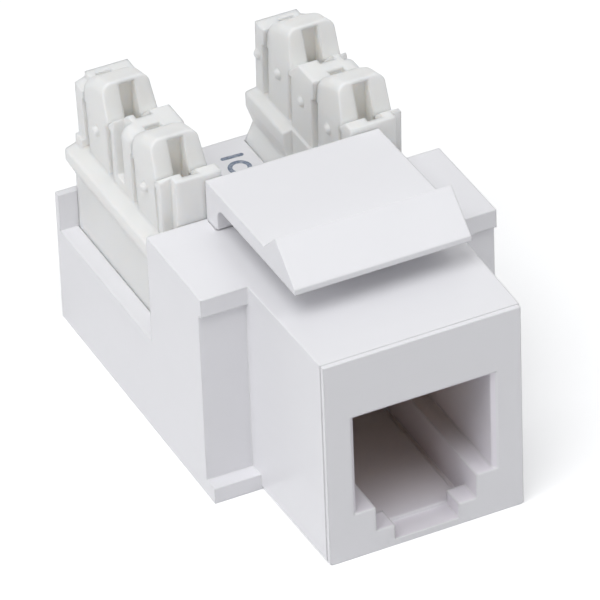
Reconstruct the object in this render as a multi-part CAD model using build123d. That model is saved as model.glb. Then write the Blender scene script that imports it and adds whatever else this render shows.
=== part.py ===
from build123d import *
from math import cos, radians, tan
import os

os.makedirs("parts", exist_ok=True)

# A keystone jack with a six-position plug opening and two punch-down terminal blocks.
# Sizes are in millimetres. X runs across the jack, Y from the plug face at zero to the
# rear, and Z up from the underside. The last lines centre the model along Y.

# Housing, outside
body_h = 16.0
nose_front_w = 14.4
nose_root_w = 14.9
nose_len = 10.5
nose_edge_r = 0.4
face_rim_depth = 0.35
face_rim_inset = 0.06
flange_w = 21.7
flange_step = 0.4
top_lip_t = 1.4
bottom_lip_t = 1.2
bottom_lip_reach = 0.8
body_len = 34.1
ledge_z = 7.5
deck_z = 10.4
deck_t = 1.2
rear_wall_t = 0.55
over = 1.0

# Plug opening and the cavity behind it
face_plate_t = 1.8
plug_w = 10.0
plug_top_z = 11.1
lead_in = 0.35
rail_top_z = 3.55
rail_w = 1.3
key_top_z = 1.65
key_w = 1.35
sill_z = 0.5
cavity_floor_z = 0.75
floor_groove = 0.45
floor_groove_deep = 0.3
core_w = 12.0
core_roof_t = 1.45
core_floor_t = 1.2
core_rear_room = 5.2

# Latch arm on top of the housing
arm_w = 12.8
riser_t = 1.7
arm_stand = 3.05
arm_t = 1.15
arm_rise = 0.15
catch_root_back = 0.6
catch_ridge_back = 2.35
catch_ridge_rise = 1.85
tip_back = 5.1
tip_drop = 0.55
tip_t = 0.4
arm_inner_r = 0.9
knuckle_r = 0.6
knuckle_gap = 0.05
latch_travel_deg = 8.8
latch_spare = 0.01

# Terminal blocks; U is the distance from the middle plane of the pair
pair_x = -0.4
block_gap = 0.05
idc_pitch = 3.81
block_rear_wall = 1.4
block_front_wall = 1.82
base_in_u = 3.65
base_out_u = 9.05
shoulder_z = 10.4
neck_in_u = 4.29
neck_z = 11.8
rail_in_u = 3.83
rail_out_u = 9.74
rail_low_z = 13.2
rail_high_z = 14.1
rail_in_high_z = 14.35
rail_edge_r = 0.2
rail_step_u = 4.5
rail_step_back = 0.65
rail_step_z = 12.3
wall_in_u = 4.78
post_in_u = 4.88
post_out_u = 8.73
post_lean = 0.1
post_foot_z = 14.5
post_sink = 0.5
rear_wall_z = 19.8
rear_plateau_u = 7.95
rear_shoulder_z = 19.15
rear_drop = 0.35
mid_wall_z = 20.0
mid_corner_r = 0.8
mid_lead_y = 1.4
front_wall_z = 19.5
front_lead_y = 0.92
end_out_u = 8.92
end_drop = 0.3
end_step_u = 8.1
end_wall_t = 0.7
wall_lead_z = 18.72
tower_rim_z = 21.4
tower_mid_z = 20.95
tower_back_z = 20.2
tower_rim_back = 0.9
tower_mid_back = 2.6
tower_lead_z = 18.75
tower_bend_z = 18.3
tower_in_draft = 0.34
tower_out_draft = 0.08
tower_out_r = 0.75
tower_in_r = 0.7
rim_r = 0.1
wire_slot_w = 0.68
lip_slot_w = 0.14
lip_z = 18.5
pocket_u = 6.83
pocket_w = 1.16
blade_reach = 0.95
wall_notch = 0.85
tower_reach = 1.3
mid_notch = 1.9
front_notch = 1.4
pocket_roof = 0.3
window_deep = 0.83
window_front = 1.57
window_rear = 2.87
window_floor_z = 15.3
nub_r = 0.38
nub_out = 0.28
nub_edge = 0.16
nub_outer_z = 17.2
nub_inner_z = 17.4
nub_rear_back = 0.4
foot_pad_w = 0.28
foot_pad_h = 0.6

# Terminal blades, with a slit that cuts through a wire's insulation
blade_t = 0.5
blade_w = 1.8
blade_top_z = 18.3
blade_slit_w = 0.3
blade_slit_z = 12.5
blade_lead_w = 1.1
blade_lead_h = 0.7
blade_gap = 0.03
tail_w = 0.6
tail_below_board = 0.6

# Circuit board and bottom cover
board_t = 1.6
board_low_z = 3.2
board_gap = 0.1
board_hole_r = 0.42
hole_sides = 12
wire_hole_gap = 0.07
cover_t = 1.2
cover_gap = 0.05
post_r = 1.1
post_u = 2.4
post_inset = 2.2
catch_len = 6.0
catch_r = 0.25
catch_end_gap = 0.1

# Contact wires, their carrier and the guide behind the plug cavity
wire_count = 6
wire_pitch = 1.02
wire_r = 0.23
wire_sides = 8
wire_below_roof = 1.7
wire_front_y = 3.0
wire_bend_r = 0.75
wire_fall_deg = 24.0
wire_end_past = 0.5
tail_row_gap = 1.3
tail_rear_room = 1.4
tail_bend_r = 0.6
comb_slot_w = 0.6
comb_end_gap = 0.1
wire_gap = 0.02
carrier_gap = 0.05
carrier_leg_w = 0.7
carrier_leg_t = 3.0
guide_t = 1.4
guide_slot_deep = 0.95
guide_slot_below = 0.77

# Places that follow from the sizes above
half_flange = flange_w / 2
lip_front_y = nose_len
recess_y = nose_len + flange_step
bottom_lip_y = nose_len - bottom_lip_reach
block_rear_y = body_len - rear_wall_t - block_gap
rear_slot_y = block_rear_y - block_rear_wall
slot_y = [rear_slot_y - i * idc_pitch for i in range(4)]
block_front_y = slot_y[3] - block_front_wall
flange_rear_y = block_front_y - block_gap
cavity_len = flange_rear_y - core_rear_room
core_top_z = body_h - core_roof_t
board_top_z = board_low_z + board_t
knuckle_y = flange_rear_y - riser_t / 2
arm_top_z = body_h + arm_stand
catch_root_y = nose_len - catch_root_back
catch_ridge_y = nose_len - catch_ridge_back
catch_ridge_z = arm_top_z + catch_ridge_rise
tip_y = nose_len - tip_back
tip_top_z = arm_top_z - tip_drop
wire_run_z = core_top_z - wire_below_roof
wire_end_y = cavity_len + wire_end_past
tail_rear_y = flange_rear_y - tail_rear_room
tail_front_y = tail_rear_y - tail_row_gap


def brick(x0, x1, y0, y1, z0, z1):
    """Box between two corners."""
    return Pos(x0, y0, z0) * Box(x1 - x0, y1 - y0, z1 - z0, align=(Align.MIN, Align.MIN, Align.MIN))


def prism_x(points, x0, x1):
    """Outline of (y, z) points, run along X from x0 to x1."""
    face = make_face(Polyline(*points, close=True))
    return extrude(Plane.YZ.offset(x0) * face, x1 - x0)


def prism_y(points, y0, y1):
    """Outline of (x, z) points, run along Y from y0 to y1."""
    face = make_face(Polyline(*points, close=True))
    return extrude(Plane.XZ.offset(-y0) * face, y0 - y1)


def rod_z(x, y, z0, z1, r):
    """Upright round bar between two heights."""
    return Pos(x, y, z0) * Cylinder(r, z1 - z0, align=(Align.CENTER, Align.CENTER, Align.MIN))


def nose():
    """Front box of the housing, a little wider at its root, with a fine parting step at the face."""
    front = nose_front_w / 2
    root = nose_root_w / 2
    plan = Polyline((-front, 0), (front, 0), (root, recess_y), (-root, recess_y), close=True)
    solid = extrude(make_face(plan), body_h)
    long_edges = solid.edges().filter_by(lambda e: e.length > nose_len * 0.9 and abs(e.tangent_at(0).Z) < 0.1)
    side_edges = long_edges.filter_by(lambda e: abs(e.center().X) > front * 0.9)
    low = side_edges.sort_by(Axis.Z)[:2]
    solid = fillet(low, nose_edge_r)
    rim = brick(-front - over, front + over, -over, face_rim_depth, -over, body_h + over)
    inset = front - face_rim_inset
    rim -= brick(-inset, inset, -2 * over, face_rim_depth + over, -2 * over, body_h - face_rim_inset)
    return solid - rim


def flange_and_tray():
    """Wide part behind the nose: two lips with a recess between, side ledges, rear wall and deck."""
    side = [
        (bottom_lip_y, 0),
        (bottom_lip_y, bottom_lip_t),
        (recess_y, bottom_lip_t),
        (recess_y, body_h - top_lip_t),
        (lip_front_y, body_h - top_lip_t),
        (lip_front_y, body_h),
        (flange_rear_y, body_h),
        (flange_rear_y, ledge_z),
        (body_len, ledge_z),
        (body_len, 0),
    ]
    solid = prism_x(side, -half_flange, half_flange)
    rear_y = body_len - rear_wall_t
    solid += brick(-half_flange, half_flange, rear_y, body_len, 0, deck_z)
    deck_half = base_in_u - block_gap
    solid += brick(pair_x - deck_half, pair_x + deck_half, flange_rear_y - over, body_len, ledge_z, deck_z)
    well = base_out_u + block_gap
    solid -= brick(pair_x - well, pair_x + well, flange_rear_y, rear_y, -over, deck_z - deck_t)
    for side_sign in (-1, 1):
        inner = pair_x + side_sign * deck_half
        outer = pair_x + side_sign * well
        solid -= brick(min(inner, outer), max(inner, outer), flange_rear_y, rear_y, -over, deck_z + over)
    return solid


def plug_outline(half_w, top_z):
    """Stepped outline of the opening in the face: a wide mouth, a rail and a key step each side."""
    rail_in = plug_w / 2 - rail_w
    key_in = rail_in - key_w
    right = [
        (key_in, sill_z),
        (key_in, key_top_z),
        (rail_in, key_top_z),
        (rail_in, rail_top_z),
        (half_w, rail_top_z),
        (half_w, top_z),
    ]
    left = [(-x, z) for x, z in reversed(right)]
    return right + left


def plug_hollow():
    """Opening, lead-in, cavity with two rails, and the core space for the contacts."""
    half = plug_w / 2
    hollow = prism_y(plug_outline(half, plug_top_z), -over, face_plate_t)
    mouth = Plane.XZ * Pos(0, (rail_top_z + plug_top_z) / 2) * Rectangle(plug_w, plug_top_z - rail_top_z)
    wide_w = plug_w + 2 * lead_in
    wide_h = plug_top_z - rail_top_z + lead_in
    wide = Plane.XZ * Pos(0, rail_top_z + wide_h / 2) * Rectangle(wide_w, wide_h)
    hollow += loft(Sketch() + [wide, Pos(0, lead_in, 0) * mouth])
    rail_in = half - rail_w
    cavity = [
        (-rail_in, cavity_floor_z),
        (rail_in, cavity_floor_z),
        (rail_in, rail_top_z),
        (half, rail_top_z),
        (half, plug_top_z),
        (-half, plug_top_z),
        (-half, rail_top_z),
        (-rail_in, rail_top_z),
    ]
    hollow += prism_y(cavity, face_plate_t, cavity_len)
    groove_low = cavity_floor_z - floor_groove_deep
    for inner in (-rail_in, rail_in - floor_groove):
        hollow += brick(inner, inner + floor_groove, face_plate_t, cavity_len, groove_low, cavity_floor_z)
    core = core_w / 2
    hollow += brick(-core, core, face_plate_t, flange_rear_y + over, plug_top_z, core_top_z)
    hollow += brick(-core, core, cavity_len, flange_rear_y + over, core_floor_t, core_top_z)
    return hollow


def housing():
    """The one-piece moulding, without its latch arm, which bends at a groove of its own."""
    solid = nose() + flange_and_tray() - plug_hollow()
    groove = Pos(0, knuckle_y, body_h) * Rot(0, 90, 0) * Cylinder(knuckle_r + knuckle_gap, arm_w + 2 * knuckle_gap)
    solid -= groove
    side = base_out_u + block_gap
    middle_y = (flange_rear_y + body_len) / 2
    for x in (pair_x - side, pair_x + side):
        dent = Cylinder(catch_r + cover_gap, catch_len + 2 * catch_end_gap)
        solid -= Pos(x, middle_y, cover_t / 2) * Rot(90, 0, 0) * dent
    return solid


def latch_arm():
    """Riser, flat arm and hooked catch. A round knuckle at the riser's foot stands in for its bend."""
    half = arm_w / 2
    riser_front = flange_rear_y - riser_t
    clear_z = body_h + riser_t / 2 * tan(radians(latch_travel_deg)) + latch_spare
    front_top = arm_top_z + arm_rise
    outline = [
        (knuckle_y, body_h),
        (flange_rear_y, body_h),
        (flange_rear_y, arm_top_z),
        (catch_root_y, front_top),
        (catch_ridge_y, catch_ridge_z),
        (tip_y, tip_top_z),
        (tip_y, tip_top_z - tip_t),
        (catch_root_y, front_top - arm_t),
        (riser_front, arm_top_z - arm_t),
        (riser_front, clear_z),
    ]
    solid = prism_x(outline, -half, half)
    inner = solid.edges().filter_by(Axis.X).sort_by_distance((0, riser_front, arm_top_z - arm_t))[0]
    solid = fillet(inner, arm_inner_r)
    solid += Pos(0, knuckle_y, body_h) * Rot(0, 90, 0) * Cylinder(knuckle_r, arm_w)
    return solid


def block_base():
    """Lower body of a terminal block, with its neck and the rail on both long sides."""
    section = [
        (base_in_u, board_top_z),
        (base_in_u, shoulder_z),
        (neck_in_u, neck_z),
        (rail_in_u, rail_low_z),
        (rail_in_u, rail_in_high_z),
        (wall_in_u - post_lean, post_foot_z),
        (post_out_u - post_lean, post_foot_z),
        (rail_out_u, rail_high_z),
        (rail_out_u, rail_low_z),
        (base_out_u, neck_z),
        (base_out_u, board_top_z),
    ]
    solid = prism_y(section, block_front_y, block_rear_y)
    rails = solid.edges().filter_by(Axis.Y).filter_by(lambda e: e.center().Z > neck_z + over)
    solid = fillet(rails.sort_by(Axis.X)[:2] + rails.sort_by(Axis.X)[-2:], rail_edge_r)
    step_y = slot_y[1] - rail_step_back
    return solid - brick(rail_in_u - over, rail_step_u, block_front_y - over, step_y, rail_step_z, post_foot_z + over)


def post(top, y0, y1):
    """Wall or tower under a row of (u, z) points, with both sides leaning outward by the same amount."""
    in_u = top[0][0] - post_lean
    out_u = top[-1][0] - post_lean
    low_z = post_foot_z - post_sink
    points = [(in_u, low_z), (in_u, post_foot_z)] + top + [(out_u, post_foot_z), (out_u, low_z)]
    return prism_y(points, y0, y1)


def along(points):
    """Solid over all of the block's width, from its side view of (y, z) points."""
    return prism_x(points, rail_in_u - over, rail_out_u + over)


def rear_wall():
    """Plain wall behind the last slot, with a small pad at its foot."""
    top = [
        (wall_in_u, rear_wall_z),
        (rear_plateau_u, rear_wall_z),
        (rear_plateau_u, rear_wall_z - rear_drop),
        (post_out_u, rear_shoulder_z),
    ]
    solid = post(top, slot_y[0], block_rear_y)
    pad_y = slot_y[0] + wire_slot_w / 2
    pad_in = post_out_u - post_lean - over
    pad_out = post_out_u - post_lean + foot_pad_w
    return solid + brick(pad_in, pad_out, pad_y, block_rear_y, rail_high_z, post_foot_z + foot_pad_h)


def middle_wall():
    """Split wall between the two pairs of slots, with a window in its outer side."""
    top = [(wall_in_u, mid_wall_z), (post_out_u, mid_wall_z)]
    solid = post(top, slot_y[2], slot_y[1])
    corner = solid.edges().filter_by(Axis.Y).sort_by_distance((post_out_u, slot_y[1], mid_wall_z))[0]
    solid = fillet(corner, mid_corner_r)
    low_z = post_foot_z - post_sink - over
    solid &= along([
        (slot_y[2] - over, low_z),
        (slot_y[2] - over, mid_wall_z),
        (slot_y[1] - mid_lead_y, mid_wall_z),
        (slot_y[1], wall_lead_z),
        (slot_y[1], low_z),
    ])
    window_y = slot_y[2] + window_front
    window_end = slot_y[2] + window_rear
    window_in = post_out_u - window_deep
    return solid - brick(window_in, post_out_u + over, window_y, window_end, window_floor_z, mid_wall_z + over)


def front_wall():
    """Low wall in front of the first slot, thinner and wider at its outer end."""
    top = [
        (wall_in_u, front_wall_z),
        (end_step_u, front_wall_z),
        (end_out_u, front_wall_z - end_drop),
    ]
    solid = post(top, block_front_y, slot_y[3])
    low_z = post_foot_z - post_sink - over
    solid &= along([
        (block_front_y - over, low_z),
        (block_front_y - over, front_wall_z),
        (slot_y[3] - front_lead_y, front_wall_z),
        (slot_y[3], wall_lead_z),
        (slot_y[3], low_z),
    ])
    step_y = slot_y[3] - wire_slot_w / 2 - end_wall_t
    return solid - brick(end_step_u, end_out_u + over, block_front_y - over, step_y, post_foot_z, front_wall_z + over)


def roof_edges(solid, side, front_y):
    """The long edges of a tower's roof on its wall side (-1) or its outer side (1)."""
    middle_u = (post_in_u + post_out_u) / 2
    edges = solid.edges().filter_by(Axis.X, reverse=True).filter_by(Axis.Y, reverse=True)
    edges = edges.filter_by(lambda e: e.center().Z > tower_back_z and e.center().Y > front_y + tower_rim_back)
    edges = edges.filter_by(lambda e: e.center().Y < front_y + idc_pitch - rim_r)
    return edges.filter_by(lambda e: (e.center().X - middle_u) * side > 0)


def tower(front_y):
    """Tall wire separator between two slots, with a rounded, sloped roof and a leaning front."""
    rear_y = front_y + idc_pitch
    above_z = tower_rim_z + over
    draft = (above_z - tower_bend_z) / (tower_rim_z - tower_bend_z)
    top = [
        (post_in_u, tower_bend_z),
        (post_in_u + tower_in_draft * draft, above_z),
        (post_out_u - tower_out_draft * draft, above_z),
        (post_out_u, tower_bend_z),
    ]
    low_z = post_foot_z - post_sink - over
    solid = post(top, front_y, rear_y) & along([
        (front_y, low_z),
        (front_y, tower_lead_z),
        (front_y + tower_rim_back, tower_rim_z),
        (front_y + tower_mid_back, tower_mid_z),
        (rear_y, tower_back_z),
        (rear_y, low_z),
    ])
    solid = fillet(roof_edges(solid, 1, front_y), tower_out_r)
    solid = fillet(roof_edges(solid, -1, front_y), tower_in_r)
    slope = solid.faces().filter_by(lambda f: f.center().Z > tower_lead_z and f.normal_at().Y < -0.5)[0]
    rim = slope.edges().filter_by(lambda e: e.center().Z > tower_lead_z + rim_r)
    return fillet(rim, rim_r)


def wire_slots():
    """Four wire slots with a wide chamber below narrow lips, and the pockets that hold the blades."""
    near = rail_in_u - over
    far = rail_out_u + over
    top = tower_rim_z + over
    left = pocket_u - pocket_w / 2
    right = pocket_u + pocket_w / 2
    half_t = blade_t / 2 + blade_gap
    half_w = blade_w / 2 + blade_gap
    cut = Part()
    for i, y in enumerate(slot_y):
        cut += brick(near, far, y - wire_slot_w / 2, y + wire_slot_w / 2, post_foot_z, lip_z)
        cut += brick(near, far, y - lip_slot_w / 2, y + lip_slot_w / 2, post_foot_z, top)
        cut += brick(left, right, y - blade_reach, y + blade_reach, post_foot_z, lip_z)
        cut += brick(pocket_u - half_t, pocket_u + half_t, y - half_w, y + half_w, board_top_z - over, lip_z)
        if i % 2 == 0:
            cut += brick(left, right, y, y + wall_notch, post_foot_z, top)
        else:
            notch = mid_notch if i == 1 else front_notch
            cut += brick(left, right, y - notch, y, lip_z, top)
            cut += brick(left, right, y, y + tower_reach, post_foot_z, tower_rim_z - pocket_roof)
    return cut


def nubs():
    """Small round pips on the faces of the walls and towers."""
    half = idc_pitch / 2
    towers = [slot_y[1] + half, slot_y[3] + half]
    walls = [block_rear_y - nub_rear_back, slot_y[2] + half]
    pips = Part()
    pip = Cylinder(nub_r, 2 * nub_out)
    pip = chamfer(pip.edges().sort_by(Axis.Z)[-1], nub_edge)
    for u, places in ((post_in_u, towers), (wall_in_u, walls)):
        for y in places:
            pips += Pos(u, y, nub_inner_z) * Rot(0, -90, 0) * pip
    for y in towers:
        pips += Pos(post_out_u, y, nub_outer_z) * Rot(0, 90, 0) * pip
    return pips


def terminal_block():
    """One punch-down block, drawn for the +X side of the pair's middle plane."""
    walls = rear_wall() + middle_wall() + front_wall()
    return block_base() + walls + tower(slot_y[1]) + tower(slot_y[3]) - wire_slots() + nubs()


def blade(y):
    """Slit terminal blade that stands in a slot, with a tail through the board."""
    half = blade_w / 2
    low = board_top_z
    slit = blade_slit_w / 2
    lead = blade_lead_w / 2
    outline = [
        (y - half, low),
        (y - half, blade_top_z),
        (y - lead, blade_top_z),
        (y - slit, blade_top_z - blade_lead_h),
        (y - slit, blade_slit_z),
        (y + slit, blade_slit_z),
        (y + slit, blade_top_z - blade_lead_h),
        (y + lead, blade_top_z),
        (y + half, blade_top_z),
        (y + half, low),
        (y + tail_w / 2, low),
        (y + tail_w / 2, board_low_z - tail_below_board),
        (y - tail_w / 2, board_low_z - tail_below_board),
        (y - tail_w / 2, low),
    ]
    return prism_x(outline, pocket_u - blade_t / 2, pocket_u + blade_t / 2)


def wire_x(i):
    """Place of a contact wire across the jack."""
    return (i - (wire_count - 1) / 2) * wire_pitch


def wire_tail_y(i):
    """The wires' tails stand in two rows."""
    return tail_front_y if i % 2 == 0 else tail_rear_y


def wire_height(y):
    """Height of a wire's falling beam at a place along the jack."""
    fall = radians(wire_fall_deg)
    centre_z = wire_run_z - wire_bend_r
    return centre_z - wire_bend_r / cos(fall) - (y - wire_front_y - wire_bend_r) * tan(fall)


def contact_wire(i):
    """Round spring wire: tail up from the board, run forward, hairpin and a beam that falls to the rear."""
    tail_y = wire_tail_y(i)
    bend_y = wire_front_y + wire_bend_r
    low_z = board_low_z - tail_below_board
    tail = Line((tail_y, low_z), (tail_y, wire_run_z - tail_bend_r))
    up = TangentArc((tail_y, wire_run_z - tail_bend_r), (tail_y - tail_bend_r, wire_run_z), tangent=(0, 1))
    run = Line((tail_y - tail_bend_r, wire_run_z), (bend_y, wire_run_z))
    centre = (bend_y, wire_run_z - wire_bend_r)
    hairpin = CenterArc(centre, wire_bend_r, 90, 180 - wire_fall_deg)
    start = hairpin @ 1
    down = hairpin % 1
    reach = (wire_end_y - start.X) / down.X
    beam = Line(start, start + down * reach)
    path = Plane.YZ.offset(wire_x(i)) * (tail + up + run + hairpin + beam)
    section = Plane((wire_x(i), tail_y, low_z), z_dir=(0, 0, 1)) * RegularPolygon(wire_r, wire_sides)
    return sweep(section, path=path)


def carrier():
    """Comb above the plug cavity, with a slot for each wire and two legs that stand on the board."""
    half = core_w / 2 - carrier_gap
    front_y = face_plate_t + carrier_gap
    rear_y = flange_rear_y - carrier_gap
    solid = brick(-half, half, front_y, rear_y, plug_top_z + carrier_gap, core_top_z - carrier_gap)
    slot_front = wire_front_y - wire_r - comb_end_gap
    slot_rear = tail_rear_y + wire_r + comb_end_gap
    for i in range(wire_count):
        x = wire_x(i)
        w = comb_slot_w / 2
        top = wire_run_z + wire_r + wire_gap
        solid -= brick(x - w, x + w, slot_front, slot_rear, 0, top)
    for side_sign in (-1, 1):
        outer = side_sign * half
        inner = side_sign * (half - carrier_leg_w)
        leg_front = rear_y - carrier_leg_t
        solid += brick(min(outer, inner), max(outer, inner), leg_front, rear_y, board_top_z, plug_top_z + over)
    return solid


def guide():
    """Rear wall of the plug cavity, with a slot for the free end of each wire."""
    half = core_w / 2 - carrier_gap
    front_y = cavity_len + carrier_gap
    slot_z = wire_height(wire_end_y) - guide_slot_below
    solid = brick(-half, half, front_y, front_y + guide_t, core_floor_t, plug_top_z)
    for i in range(wire_count):
        x = wire_x(i)
        w = comb_slot_w / 2
        solid -= brick(x - w, x + w, front_y - over, front_y + guide_slot_deep, slot_z, plug_top_z + over)
    return solid


def board_hole(x, y, r):
    """Cutter for one plated hole through the board."""
    return Pos(x, y, board_low_z - over) * extrude(RegularPolygon(r, hole_sides), board_t + 2 * over)


def board():
    """Circuit board under the blocks, with a tongue that reaches the wires' tails."""
    half = base_out_u - board_gap
    front_y = flange_rear_y + board_gap
    rear_y = block_rear_y - board_gap
    solid = brick(pair_x - half, pair_x + half, front_y, rear_y, board_low_z, board_top_z)
    tongue = core_w / 2 - board_gap
    tongue_y = cavity_len + carrier_gap + guide_t + board_gap
    solid += brick(-tongue, tongue, tongue_y, front_y, board_low_z, board_top_z)
    for i in range(wire_count):
        solid -= board_hole(wire_x(i), wire_tail_y(i), wire_r + wire_hole_gap)
    for side_sign in (-1, 1):
        for y in slot_y[:3]:
            solid -= board_hole(pair_x + side_sign * pocket_u, y, board_hole_r)
    return solid


def cover():
    """Bottom cover, snapped between the side walls, with four posts under the board."""
    half = base_out_u + block_gap - cover_gap
    front_y = flange_rear_y + cover_gap
    rear_y = body_len - rear_wall_t - cover_gap
    solid = brick(pair_x - half, pair_x + half, front_y, rear_y, 0, cover_t)
    middle_y = (flange_rear_y + body_len) / 2
    for side_sign in (-1, 1):
        x = pair_x + side_sign * half
        solid += Pos(x, middle_y, cover_t / 2) * Rot(90, 0, 0) * Cylinder(catch_r, catch_len)
        for y in (front_y + post_inset, rear_y - post_inset):
            solid += rod_z(pair_x + side_sign * post_u, y, 0, board_low_z, post_r)
    return solid


def save(shape, node):
    """Writes one piece with the model centred along Y."""
    export_step(Pos(0, -body_len / 2, 0) * shape, f"parts/{node}.step")


right_block = Pos(pair_x, 0, 0) * terminal_block()
left_block = Pos(pair_x, 0, 0) * mirror(terminal_block(), about=Plane.YZ)

save(housing(), "housing")
save(latch_arm(), "latch_arm")
save(left_block, "terminal_block_left")
save(right_block, "terminal_block_right")
save(carrier(), "contact_carrier")
save(guide(), "contact_guide")
save(board(), "circuit_board")
save(cover(), "bottom_cover")
for i in range(wire_count):
    save(contact_wire(i), f"contact_wire_{i + 1}")
for side_sign, start in ((-1, 1), (1, 4)):
    for k, y in enumerate(slot_y[:3]):
        piece = blade(y) if side_sign > 0 else mirror(blade(y), about=Plane.YZ)
        save(Pos(pair_x, 0, 0) * piece, f"terminal_blade_{start + k}")
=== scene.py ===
import math

import bmesh
import bpy
from mathutils import Matrix, Vector


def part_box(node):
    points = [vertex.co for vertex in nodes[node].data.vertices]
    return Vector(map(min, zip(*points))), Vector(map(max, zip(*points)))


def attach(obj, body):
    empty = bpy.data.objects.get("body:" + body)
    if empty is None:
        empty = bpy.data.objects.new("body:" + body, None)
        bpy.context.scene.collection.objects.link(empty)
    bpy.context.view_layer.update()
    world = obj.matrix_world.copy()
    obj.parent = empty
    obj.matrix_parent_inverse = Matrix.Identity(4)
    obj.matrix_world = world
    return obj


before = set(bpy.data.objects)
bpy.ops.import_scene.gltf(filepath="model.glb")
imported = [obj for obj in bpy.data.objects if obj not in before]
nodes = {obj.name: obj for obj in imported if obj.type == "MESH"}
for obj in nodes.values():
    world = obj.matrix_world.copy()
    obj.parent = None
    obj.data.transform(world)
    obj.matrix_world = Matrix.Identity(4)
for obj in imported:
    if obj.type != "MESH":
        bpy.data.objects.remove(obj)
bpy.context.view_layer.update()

scene = bpy.context.scene
MM = 0.001

# ---- Camera ----
# A long lens looks down on the jack from its front left corner, rolled by two degrees,
# as the photograph was taken.
azimuth, elevation, roll = (math.radians(a) for a in (-24.82, 35.43, -2.29))
aim = Vector((-3.93, -7.05, 14.05))
distance = 433.7
back = Vector((math.sin(azimuth) * math.cos(elevation),
               -math.cos(azimuth) * math.cos(elevation),
               math.sin(elevation)))
level = Vector((math.cos(azimuth), math.sin(azimuth), 0))
upright = back.cross(level)
right = math.cos(roll) * level + math.sin(roll) * upright
up = math.cos(roll) * upright - math.sin(roll) * level

lens = bpy.data.cameras.new("long_lens")
lens.sensor_width = 36
lens.lens = 397.6
lens.clip_start = 0.01
lens.clip_end = 20
camera = bpy.data.objects.new("camera", lens)
camera.matrix_world = Matrix((right, up, back)).transposed().to_4x4()
camera.location = (aim + back * distance) * MM
scene.collection.objects.link(camera)
scene.camera = camera
scene.view_settings.view_transform = "Standard"

# ---- Table and light ----
# A white table in a white studio, which look plain white and light the jack less than that.
# A big soft lamp hangs overhead on the left, and three weaker ones fill from the rear, the
# left and the front, so that the top is brightest.


class Signal:
    """One output of a node. Sums, products and comparisons of signals add Math nodes."""

    def __init__(self, wiring, socket):
        self.wiring = wiring
        self.socket = socket

    def maths(self, operation, first, second=0.0):
        return self.wiring.node("ShaderNodeMath", {"operation": operation}, {0: first, 1: second})

    def __add__(self, other):
        return self.maths("ADD", self, other)

    def __sub__(self, other):
        return self.maths("SUBTRACT", self, other)

    def __rsub__(self, other):
        return self.maths("SUBTRACT", other, self)

    def __mul__(self, other):
        return self.maths("MULTIPLY", self, other)

    def __truediv__(self, other):
        return self.maths("DIVIDE", self, other)

    def __mod__(self, other):
        return self.maths("FLOORED_MODULO", self, other)

    def __lt__(self, other):
        return self.maths("LESS_THAN", self, other)

    def __gt__(self, other):
        return self.maths("GREATER_THAN", self, other)

    def __or__(self, other):
        return self.maths("MAXIMUM", self, other)

    def __abs__(self):
        return self.maths("ABSOLUTE", self)

    __radd__ = __add__
    __rmul__ = __mul__
    __ror__ = __or__


class Wiring:
    """A node tree in the making; node() adds one node and gives one of its outputs back."""

    def __init__(self, tree):
        self.tree = tree

    def node(self, kind, settings, sockets, output=0):
        made = self.tree.nodes.new(kind)
        for name, value in settings.items():
            if name == "stops":
                while len(made.color_ramp.elements) < len(value):
                    made.color_ramp.elements.new(1.0)
                for element, (place, grey) in zip(made.color_ramp.elements, value):
                    element.position = place
                    element.color = (grey, grey, grey, 1)
            else:
                setattr(made, name, value)
        for name, value in sockets.items():
            self.feed(made.inputs[name], value)
        return Signal(self, made.outputs[output])

    def feed(self, socket, value):
        if isinstance(value, Signal):
            self.tree.links.new(value.socket, socket)
        else:
            socket.default_value = value

    def shown(self):
        """1 on rays that show the background: straight, in a reflection or through glass."""
        rays = 0.0
        for kind in ("Is Camera Ray", "Is Glossy Ray", "Is Transmission Ray"):
            rays = rays | self.node("ShaderNodeLightPath", {}, {}, output=kind)
        return rays


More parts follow.
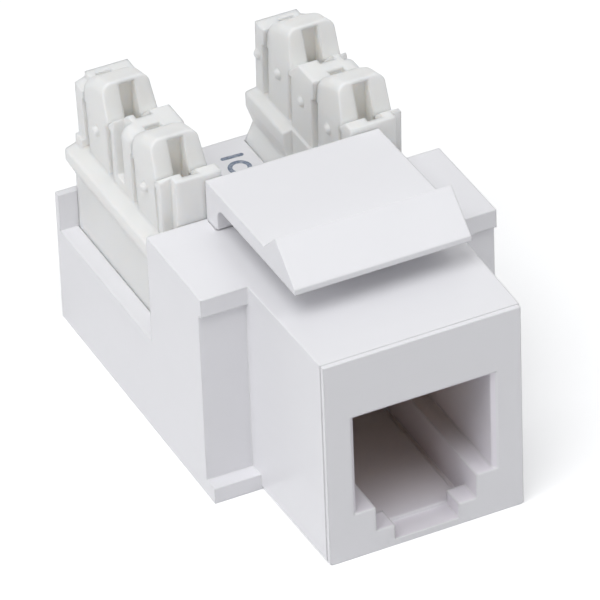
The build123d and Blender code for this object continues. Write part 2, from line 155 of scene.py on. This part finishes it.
class Finish(Wiring):
    """A material in the making."""

    def __init__(self, name):
        self.material = bpy.data.materials.new(name)
        self.material.use_nodes = True
        super().__init__(self.material.node_tree)
        self.surface = self.tree.nodes["Principled BSDF"]

    def set(self, **sockets):
        for name, value in sockets.items():
            self.feed(self.surface.inputs[name.replace("_", " ")], value)

    def axes(self):
        """The three object coordinates in millimetres."""
        here = self.node("ShaderNodeTexCoord", {}, {}, output="Object")
        return [self.node("ShaderNodeSeparateXYZ", {}, {"Vector": here}, output=axis) / MM
                for axis in "XYZ"]

    def noise(self, scale, detail, stretch=(1, 1, 1)):
        """Noise over object coordinates in metres, which are stretched along each axis."""
        here = self.node("ShaderNodeTexCoord", {}, {}, output="Object")
        place = self.node("ShaderNodeMapping", {}, {"Vector": here, "Scale": stretch})
        return self.node("ShaderNodeTexNoise", {},
                         {"Vector": place, "Scale": scale, "Detail": detail})

    def ramp(self, signal, *stops):
        return self.node("ShaderNodeValToRGB", {"stops": stops}, {"Fac": signal})

    def blend(self, share, first, second):
        """Mix of two colours."""
        first, second = ((*c, 1) if isinstance(c, tuple) else c for c in (first, second))
        return self.node("ShaderNodeMix", {"data_type": "RGBA"},
                         {"Factor": share, 6: first, 7: second}, output=2)

    def relief(self, height, depth, normal=None):
        """Bump of a signal, its depth in metres."""
        sockets = {"Height": height, "Distance": depth, "Strength": 1.0}
        if normal is not None:
            sockets["Normal"] = normal
        return self.node("ShaderNodeBump", {}, sockets)

    def rounded(self, radius):
        """Normal that rounds the corners by a radius in metres."""
        return self.node("ShaderNodeBevel", {"samples": 8}, {"Radius": radius})

    def rim(self, rounded):
        """1 on the corners that a rounded normal turns, 0 on flat faces."""
        flat = self.node("ShaderNodeNewGeometry", {}, {}, output="True Normal")
        likeness = self.node("ShaderNodeVectorMath", {"operation": "DOT_PRODUCT"},
                             {0: rounded, 1: flat}, output="Value")
        return self.ramp(1.0 - likeness, (0.01, 0), (0.22, 1))

    def on(self, piece):
        piece.data.materials.clear()
        piece.data.materials.append(self.material)


def mesh_piece(name, build, *measures):
    """New object at the origin, from a function that fills a bmesh to some measures."""
    mesh = bpy.data.meshes.new(name)
    shape = bmesh.new()
    build(shape, *measures)
    bmesh.ops.recalc_face_normals(shape, faces=shape.faces)
    shape.to_mesh(mesh)
    shape.free()
    piece = bpy.data.objects.new(name, mesh)
    scene.collection.objects.link(piece)
    return piece


def lay_table(shape, reach):
    bmesh.ops.create_grid(shape, x_segments=1, y_segments=1, size=reach)


table = mesh_piece("table", lay_table, 3.0)
table_white = Finish("table_white")
shown = table_white.shown()
table_white.set(Base_Color=table_white.blend(shown, (0.77, 0.77, 0.78), (1.0, 1.0, 1.0)))
table_white.set(Emission_Color=table_white.blend(shown, (0.0, 0.0, 0.0), (0.2, 0.2, 0.2)))
table_white.set(Emission_Strength=1.0, Roughness=0.9, Specular_IOR_Level=0.1)
table_white.on(table)

jack_middle = Vector((0, 0, 0.01))


def lamp(name, place, width, watts):
    light = bpy.data.lights.new(name, "AREA")
    light.color = (0.975, 0.985, 1.0)
    light.shape = "DISK"
    light.size = width
    light.energy = watts
    piece = bpy.data.objects.new(name, light)
    piece.location = place
    piece.rotation_euler = (jack_middle - Vector(place)).to_track_quat("-Z", "Y").to_euler()
    scene.collection.objects.link(piece)


lamp("overhead_softbox", (-0.22, -0.14, 0.52), 0.42, 1.78)
lamp("rear_top", (0.02, 0.16, 0.55), 0.42, 0.38)
lamp("left_fill", (-0.55, -0.02, 0.22), 0.40, 0.68)
lamp("front_fill", (0.25, -0.25, 0.45), 0.42, 0.73)

sky_light, sky_shown = 0.19, 1.0
scene.world = bpy.data.worlds.new("studio")
scene.world.use_nodes = True
studio = Wiring(scene.world.node_tree)
backdrop = studio.tree.nodes["Background"]
studio.feed(backdrop.inputs["Color"], (1, 1, 1, 1))
studio.feed(backdrop.inputs["Strength"], studio.shown() * (sky_shown - sky_light) + sky_light)

# ---- Housing ----
# One moulding of white ABS with a satin gloss: the nose with its plug opening, the flange
# that stops against the wall plate, and the tray behind it. It shows the faint ripple of a
# polished mould, a few hairline scuffs from handling and softly broken corners. The walls
# inside the plug opening carry a painted shade, and the edges carry a painted highlight.

# The plug face is at y = -17.05 mm. Inside the opening the walls get a purplish painted shade,
# which deepens to a darker painted shade between dusk_y and dark_y.
edge_r, step_edge_r = 0.17, 0.32
opening_half_w = 5.3
opening_y, opening_z = (-16.95, -4.0), (0.3, 11.4)
steps_back_y, steps_z = -14.6, (0.5, 6.3)
dusk_y, dark_y = -15.2, -10.2


def moulded_white(name, tone, shade):
    """Satin-gloss white plastic between two near-white tones, with a painted shade inside the
    plug opening and a painted highlight along its edges.
    """
    finish = Finish(name)
    drift = finish.noise(70, 3)
    cloud = finish.noise(420, 4)
    x, y, z = finish.axes()
    between_walls = abs(x) < opening_half_w
    at_steps = between_walls * (y < steps_back_y) * (z > steps_z[0]) * (z < steps_z[1])
    opening_shade_mask = between_walls * (y > opening_y[0]) * (y < opening_y[1])
    opening_shade_mask = opening_shade_mask * (z > opening_z[0]) * (z < opening_z[1])
    depth = finish.ramp((y - dusk_y) / (dark_y - dusk_y), (0, 0), (1, 1))
    rounded = finish.rounded((edge_r + at_steps * (step_edge_r - edge_r)) * MM)
    rim = finish.rim(rounded)
    moulded = finish.blend(drift * 0.6 + cloud * 0.4, shade, tone)
    # Painted shade: the walls inside the plug opening are painted purplish, and darker towards
    # the back.
    moulded = finish.blend(opening_shade_mask * 0.5, moulded, (0.865, 0.815, 0.89))
    moulded = finish.blend(opening_shade_mask * depth * 0.9, moulded, (0.78, 0.70, 0.705))
    ripple = finish.noise(650, 2)
    grain = finish.noise(9000, 3)
    scuff = finish.ramp(finish.noise(900, 4, (1, 0.06, 1)), (0.60, 0), (0.70, 1))
    rub = finish.ramp(finish.noise(160, 3), (0.45, 0), (0.75, 1))
    rough = 0.30 + rub * 0.10 + scuff * 0.08 + grain * 0.05 - rim * 0.06
    height = ripple * 0.5 + grain * 0.05 - scuff * 0.06
    # Painted highlight: the rounded edges are painted lighter, towards near-white.
    finish.set(Base_Color=finish.blend(rim * 0.8, moulded, (0.95, 0.95, 0.96)))
    finish.set(Roughness=rough, Normal=finish.relief(height, 0.012 * MM, rounded), IOR=1.53)
    return finish


housing_white = moulded_white("housing_white", (0.84, 0.835, 0.855), (0.81, 0.805, 0.827))
housing_white.on(nodes["housing"])

# ---- Latch arm ----
# Part of the same ABS moulding: a riser at the flange's rear, a flat spring arm and a hooked
# catch that snaps behind the wall plate. It bends at the riser's foot when it is pressed.
housing_white.on(nodes["latch_arm"])

# ---- Bottom cover ----
# A plain ABS plate from another mould, a shade duller, which snaps in between the tray's
# side walls and holds the board down with its four posts.
cover_white = moulded_white("cover_white", (0.80, 0.797, 0.815), (0.76, 0.757, 0.775))
cover_white.on(nodes["bottom_cover"])

# ---- Printed marks on the deck ----
# Two plain marks in dark blue ink, pad-printed on the deck between the terminal blocks: a
# bar and a ring. The ink is a film a few hundredths of a millimetre thick.
deck_z = 10.4
ink_z = (deck_z + 0.002, deck_z + 0.02)
bar_centre, bar_length, bar_width, bar_turn = (1.58, 15.02), 1.7, 0.34, -2.5
ring_centre, ring_out_r, ring_in_r = (1.5, 13.6), 0.85, 0.52


def lay_ink(shape, outline, hole=None):
    """Film of ink inside an outline, around a hole that has as many points, if any."""
    def level_pair(points):
        return [[shape.verts.new((x * MM, y * MM, z * MM)) for x, y in points] for z in ink_z]

    def strip(first, second):
        for i in range(len(first)):
            shape.faces.new((first[i - 1], first[i], second[i], second[i - 1]))

    low, top = level_pair(outline)
    strip(low, top)
    if hole is None:
        shape.faces.new(low)
        shape.faces.new(top)
    else:
        low_hole, top_hole = level_pair(hole)
        strip(low_hole, top_hole)
        strip(low, low_hole)
        strip(top, top_hole)


def circle(centre, radius, count=40):
    turns = (2 * math.pi * i / count for i in range(count))
    return [(centre[0] + radius * math.cos(a), centre[1] + radius * math.sin(a)) for a in turns]


def round_ended_bar(centre, length, width, turn, end_points=9):
    """Outline of a bar with half-round ends, turned by an angle in degrees."""
    radius = width / 2
    turned = Matrix.Rotation(math.radians(turn), 2)
    outline = []
    for end in (1, -1):
        for i in range(end_points):
            a = math.pi * (i / (end_points - 1) - 0.5)
            x = length / 2 - radius + radius * math.cos(a)
            outline.append(Vector(centre) + turned @ Vector((x, radius * math.sin(a))) * end)
    return outline


bar_outline = round_ended_bar(bar_centre, bar_length, bar_width, bar_turn)
deck_mark_bar = mesh_piece("deck_mark_bar", lay_ink, bar_outline)
ring_outlines = circle(ring_centre, ring_out_r), circle(ring_centre, ring_in_r)
deck_mark_ring = mesh_piece("deck_mark_ring", lay_ink, *ring_outlines)

ink_blue = Finish("ink_blue")
wear = ink_blue.ramp(ink_blue.noise(5200, 4), (0.42, 0), (0.72, 1))
ink_blue.set(Base_Color=ink_blue.blend(wear, (0.14, 0.18, 0.25), (0.40, 0.43, 0.50)))
ink_blue.set(Roughness=0.45 + wear * 0.2)
for mark in (deck_mark_bar, deck_mark_ring):
    ink_blue.on(mark)
    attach(mark, "body")

# ---- Terminal blocks ----
# Two mirrored mouldings of cream-white polycarbonate that stand on the board and pass up
# beside the deck. Light goes a little way into them. Their wire slots and blade pockets are
# painted lighter and warmer, a painted glow that stands in for the light scattered in those
# hollows, and their edges carry a painted highlight.
pair_x, pocket_u = -0.4, 6.83
front_slot_y, slot_pitch = 3.62, 3.81
slot_half, pocket_half, chamber_half = 0.36, 0.59, 0.97
notch_reach, tower_reach = 0.87, (-1.41, 1.32)
floor_z, lip_z, wall_z, tower_z = 14.6, 18.52, 19.7, 21.08

# The hollows repeat with each slot, and a tower stands at every second slot.
terminal_white = Finish("terminal_white")
x, y, z = terminal_white.axes()
from_first = y - (front_slot_y - slot_pitch / 2)
past_slot = from_first % slot_pitch - slot_pitch / 2
by_tower = from_first % (2 * slot_pitch) < slot_pitch
in_slot = (abs(past_slot) < slot_half) * (z < lip_z)
in_chamber = (abs(past_slot) < chamber_half) * (z < lip_z)
in_notch = (past_slot > 0.0) * (past_slot < notch_reach) * (z < wall_z)
in_tower = by_tower * (past_slot > tower_reach[0]) * (past_slot < tower_reach[1]) * (z < tower_z)
in_pocket = (abs(abs(x - pair_x) - pocket_u) < pocket_half) * (in_chamber | in_notch | in_tower)
painted_glow_mask = (in_slot | in_pocket) * (z > floor_z)
drift = terminal_white.noise(110, 3)
cream = terminal_white.blend(drift, (0.80, 0.80, 0.785), (0.84, 0.84, 0.83))
# Painted glow: the wire slots and blade pockets are painted a lighter, warmer cream.
cream_with_painted_glow = terminal_white.blend(painted_glow_mask * 0.95, cream, (0.98, 0.965, 0.92))
rounded = terminal_white.rounded(0.28 * MM)
rim = terminal_white.rim(rounded)
fine = terminal_white.noise(7000, 3)
ripple = terminal_white.noise(800, 2)
# Painted highlight: the rounded edges are painted lighter.
terminal_white.set(Base_Color=terminal_white.blend(rim * 0.5, cream_with_painted_glow, (0.88, 0.88, 0.87)))
terminal_white.set(Roughness=0.38 + fine * 0.08 + drift * 0.06, IOR=1.57)
terminal_white.set(Normal=terminal_white.relief(ripple * 0.5 + fine * 0.08, 0.014 * MM, rounded))
terminal_white.set(Subsurface_Weight=0.8, Subsurface_Scale=1.1 * MM,
                   Subsurface_Radius=(1.0, 0.92, 0.84))
for name in ("terminal_block_left", "terminal_block_right"):
    terminal_white.on(nodes[name])

# ---- Contact carrier and guide ----
# Dark grey glass-filled PBT: the comb above the plug that the wires are bent around, and the
# slotted wall behind it. Glass filling leaves a dull, finely flecked skin.
carrier_grey = Finish("carrier_grey")
fleck = carrier_grey.ramp(carrier_grey.noise(6000, 4), (0.52, 0), (0.70, 1))
haze = carrier_grey.noise(220, 3)
flecked = carrier_grey.blend(fleck * 0.5 + haze * 0.3, (0.022, 0.022, 0.024), (0.06, 0.06, 0.062))
pitted = carrier_grey.relief(fleck, 0.01 * MM, carrier_grey.rounded(0.1 * MM))
carrier_grey.set(Base_Color=flecked, Roughness=0.50 + fleck * 0.15, Normal=pitted)
for name in ("contact_carrier", "contact_guide"):
    carrier_grey.on(nodes[name])

# ---- Contact wires ----
# Six springs of round phosphor bronze wire, plated with gold over nickel. Drawing leaves
# fine lines along the wire, and the plating is a little uneven.
contact_gold = Finish("contact_gold")
drawn = contact_gold.noise(2600, 3, (1, 0.05, 1))
patch = contact_gold.noise(500, 3)
plated = contact_gold.blend(patch, (0.78, 0.54, 0.20), (0.90, 0.68, 0.32))
contact_gold.set(Base_Color=plated, Metallic=1.0, Roughness=0.20 + drawn * 0.14 + patch * 0.06)
contact_gold.set(Normal=contact_gold.relief(drawn, 0.004 * MM))
for i in range(1, 7):
    contact_gold.on(nodes[f"contact_wire_{i}"])

# ---- Terminal blades ----
# Six slit blades stamped from tin-plated phosphor bronze strip. Rolling leaves an upright
# grain, and the tin is matt with brighter patches.
blade_tin = Finish("blade_tin")
rolled = blade_tin.noise(3200, 3, (1, 1, 0.05))
bloom = blade_tin.noise(900, 4)
tinned = blade_tin.blend(bloom, (0.50, 0.49, 0.47), (0.68, 0.67, 0.65))
blade_tin.set(Base_Color=tinned, Metallic=1.0, Roughness=0.34 + rolled * 0.16 + bloom * 0.08)
blade_tin.set(Normal=blade_tin.relief(rolled, 0.005 * MM, blade_tin.rounded(0.04 * MM)))
for i in range(1, 7):
    blade_tin.on(nodes[f"terminal_blade_{i}"])

# ---- Circuit board ----
# Glass-fibre board with green solder mask. Six copper tracks under the mask run from the
# contact wires' tails to the blades' tails. The weave of the glass shows faintly.
track_half = 0.2
wire_tail_x = [(i - 2.5) * 1.02 for i in range(6)]
blade_tails = [(pair_x + side * pocket_u, tail_y)
               for side, rows in ((-1, (7.43, 11.24, 15.05)), (1, (15.05, 11.24, 7.43)))
               for tail_y in rows]

board_green = Finish("board_green")
x, y, z = board_green.axes()
tracks = 0.0
for wire_x, (blade_x, blade_y) in zip(wire_tail_x, blade_tails):
    lengthwise = (abs(x - wire_x) < track_half) * (y > 0.0) * (y < blade_y + track_half)
    middle_x, half_run = (wire_x + blade_x) / 2, abs(blade_x - wire_x) / 2
    crosswise = (abs(y - blade_y) < track_half) * (abs(x - middle_x) < half_run)
    tracks = tracks | lengthwise | crosswise
warp = board_green.noise(1800, 2, (1, 0.2, 1))
weft = board_green.noise(1800, 2, (0.2, 1, 1))
weave = warp * 0.5 + weft * 0.5
mask = board_green.blend(weave, (0.010, 0.085, 0.040), (0.016, 0.125, 0.060))
board_green.set(Base_Color=board_green.blend(tracks, mask, (0.035, 0.22, 0.085)))
board_green.set(Roughness=0.30 + weave * 0.12)
board_green.set(Normal=board_green.relief(tracks * 0.8 + weave * 0.2, 0.03 * MM))
board_green.on(nodes["circuit_board"])

# ---- Solder joints ----
# Under the board each wire's and blade's tail stands in a tinned ring pad and a small hollow
# cone of solder, which wetted the tail as it cooled. A joint on a wire is the smaller one.
board_low_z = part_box("circuit_board")[0].z
wire_tail_y = (0.40, 1.75)
wire_tails = [(tail_x, wire_tail_y[i % 2]) for i, tail_x in enumerate(wire_tail_x)]
joint_sizes = [0.62] * len(wire_tails) + [1.0] * len(blade_tails)


def solder_tree():
    """Each point of the mesh gets a waisted cone of solder, sized by the point's own size."""
    tree = bpy.data.node_groups.new("solder_joints", "GeometryNodeTree")
    sockets = tree.interface
    sockets.new_socket("Places", in_out="INPUT", socket_type="NodeSocketGeometry")
    for name, value in (("Pad radius", 0.78), ("Joint height", 0.5), ("Tip radius", 0.3)):
        measure = sockets.new_socket(name, in_out="INPUT", socket_type="NodeSocketFloat")
        measure.default_value = value * MM
    sockets.new_socket("Solder", in_out="INPUT", socket_type="NodeSocketMaterial")
    sockets.new_socket("Joints", in_out="OUTPUT", socket_type="NodeSocketGeometry")

    wiring = Wiring(tree)
    places, pad_r, joint_h, tip_r, solder = (
        wiring.node("NodeGroupInput", {}, {}, output=name)
        for name in ("Places", "Pad radius", "Joint height", "Tip radius", "Solder"))
    cone = wiring.node("GeometryNodeMeshCone", {},
                       {"Vertices": 20, "Side Segments": 6,
                        "Radius Bottom": pad_r, "Radius Top": tip_r, "Depth": joint_h})
    here = wiring.node("GeometryNodeInputPosition", {}, {})
    x, y, z = (wiring.node("ShaderNodeSeparateXYZ", {}, {"Vector": here}, output=axis)
               for axis in "XYZ")
    bow = wiring.node("ShaderNodeMath", {"operation": "SINE"}, {0: z / joint_h * math.pi})
    waist = 1.0 - bow * 0.26
    drawn_in = wiring.node("ShaderNodeCombineXYZ", {}, {"X": x * waist, "Y": y * waist, "Z": z})
    joint = wiring.node("GeometryNodeSetPosition", {}, {"Geometry": cone, "Position": drawn_in})
    size = wiring.node("GeometryNodeInputNamedAttribute", {"data_type": "FLOAT"},
                       {"Name": "size"}, output="Attribute")
    hung = wiring.node("GeometryNodeInstanceOnPoints", {},
                       {"Points": places, "Instance": joint, "Rotation": (math.pi, 0, 0),
                        "Scale": size})
    solid = wiring.node("GeometryNodeRealizeInstances", {}, {"Geometry": hung})
    tinned = wiring.node("GeometryNodeSetMaterial", {}, {"Geometry": solid, "Material": solder})
    wiring.feed(tree.nodes.new("NodeGroupOutput").inputs["Joints"], tinned)
    return tree


def grown(name, places, sizes, tree, **inputs):
    """Plain mesh object from a geometry tree that grows pieces on a list of places."""
    mesh = bpy.data.meshes.new(name + "_places")
    mesh.from_pydata(places, [], [])
    mesh.attributes.new("size", "FLOAT", "POINT").data.foreach_set("value", sizes)
    seed = bpy.data.objects.new(name + "_places", mesh)
    scene.collection.objects.link(seed)
    growth = seed.modifiers.new("growth", "NODES")
    growth.node_group = tree
    for item in tree.interface.items_tree:
        if item.in_out == "INPUT" and item.name in inputs:
            growth[item.identifier] = inputs[item.name]
    evaluated = seed.evaluated_get(bpy.context.evaluated_depsgraph_get())
    piece = bpy.data.objects.new(name, bpy.data.meshes.new_from_object(evaluated))
    scene.collection.objects.link(piece)
    seed.modifiers.remove(growth)
    bpy.data.objects.remove(seed)
    return piece


solder_bright = Finish("solder_bright")
chill = solder_bright.noise(2400, 3)
solder_bright.set(Base_Color=solder_bright.blend(chill, (0.56, 0.56, 0.55), (0.72, 0.72, 0.71)))
solder_bright.set(Metallic=1.0, Roughness=0.24 + chill * 0.2)
solder_bright.set(Normal=solder_bright.relief(chill, 0.01 * MM))
joint_places = [(tail_x * MM, tail_y * MM, board_low_z)
                for tail_x, tail_y in wire_tails + blade_tails]
solder_joints = grown("solder_joints", joint_places, joint_sizes, solder_tree(),
                      Solder=solder_bright.material)
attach(solder_joints, "body")
